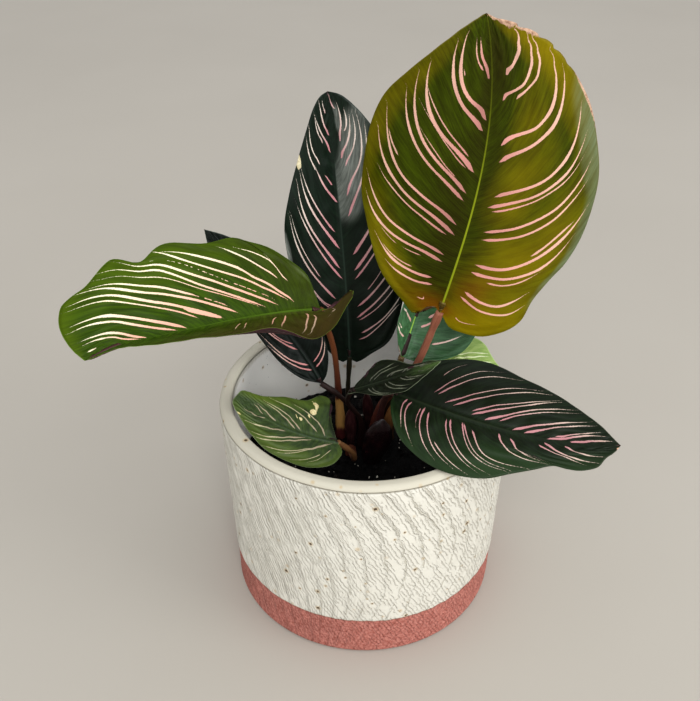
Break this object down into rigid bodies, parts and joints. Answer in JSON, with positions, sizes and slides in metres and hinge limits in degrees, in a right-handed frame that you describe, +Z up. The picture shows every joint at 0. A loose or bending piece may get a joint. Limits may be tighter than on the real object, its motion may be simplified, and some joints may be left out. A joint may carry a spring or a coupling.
{
  "type": "potted calathea houseplant",
  "caption": "Calathea with pink-striped leaves on slender stems, rooted in soil in a straight-sided ceramic planter with a combed wall and a bare clay foot band.",
  "frame": {"origin": "centre of the planter's flat foot, on the surface it stands on", "axes": "+Z up along the planter's axis; -Y is the side from which the plant is seen, so +X is its right"},
  "size_m": [0.2194, 0.13, 0.277],
  "materials": {
    "glaze": "off-white glaze with fine iron specks over a combed wall, bare terracotta clay at the foot",
    "soil": "dark, moist, crumbly potting mix with pale mineral grains",
    "leaf_olive": "satin yellow-green blade with pink stripes along its side veins, lit through from behind",
    "leaf_dark": "satin dark green blade with pairs of pink stripes",
    "leaf_green": "satin mid green blade with cream to pink stripes and a purple underside",
    "leaf_lime": "satin light green young blade with pale stripes",
    "stem": "satin pinkish-brown petiole",
    "sheath": "glossy dark purple sheath",
    "dry_sheath": "dry, papery tan sheath"
  },
  "bodies": {
    "root": {"pot": "glaze", "potting_soil": "soil", "leaf_tall": "leaf_olive", "stem_tall": "stem", "leaf_rear": "leaf_dark", "stem_rear": "stem", "leaf_left": "leaf_green", "stem_left": "stem", "leaf_right": "leaf_dark", "stem_right": "stem", "leaf_front": "leaf_green", "stem_front": "stem", "leaf_shaded": "leaf_dark", "stem_shaded": "stem", "leaf_crown": "leaf_dark", "stem_crown": "stem", "leaf_middle": "leaf_dark", "stem_middle": "stem", "leaf_lime": "leaf_lime", "stem_lime": "stem", "sheath_front": "sheath", "sheath_rear": "sheath", "sheath_dry": "dry_sheath", "shoot_rolled": "sheath"}
  },
  "joints": []
}
